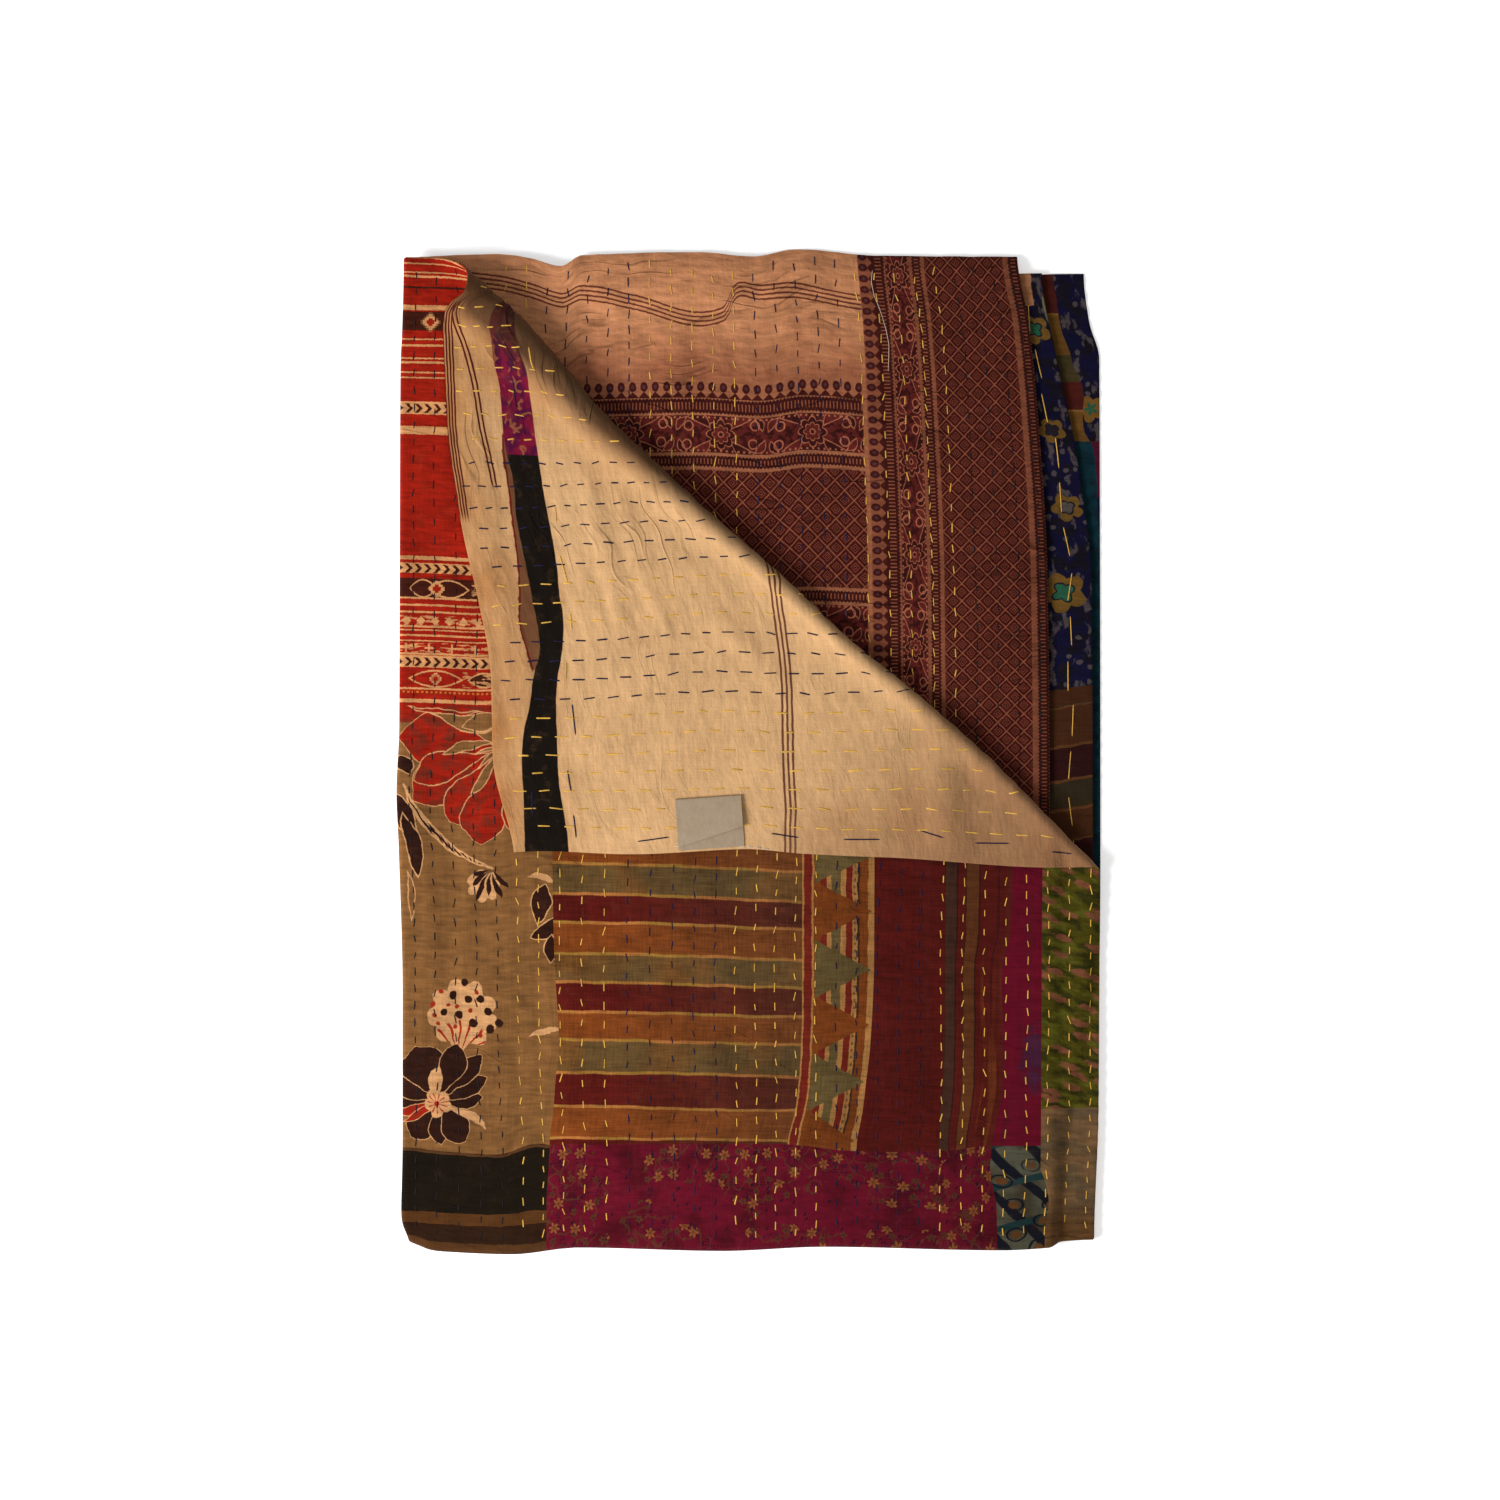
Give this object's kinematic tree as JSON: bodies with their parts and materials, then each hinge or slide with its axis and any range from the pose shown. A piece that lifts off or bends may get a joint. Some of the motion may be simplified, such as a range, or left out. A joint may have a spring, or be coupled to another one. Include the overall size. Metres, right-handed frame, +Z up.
{
  "type": "folded kantha quilt",
  "caption": "Hand-stitched patchwork cloth quilt, folded into a flat pile of layers with the top corner turned back to show its reverse.",
  "frame": {"origin": "bottom centre of the folded quilt's bounding box, on the surface that it lies on", "axes": "+Z up, +Y along the longer side from the lower fold to the open hems, +X from the side fold to the open hems"},
  "size_m": [0.6318, 0.9032, 0.0479],
  "materials": {
    "quilted_cotton": "matt printed cotton, in patches, with rows of running stitch",
    "label_satin": "smooth grey woven satin, blank"
  },
  "bodies": {
    "root": {"kantha_quilt": "quilted_cotton", "sewn_label": "label_satin"}
  },
  "joints": []
}
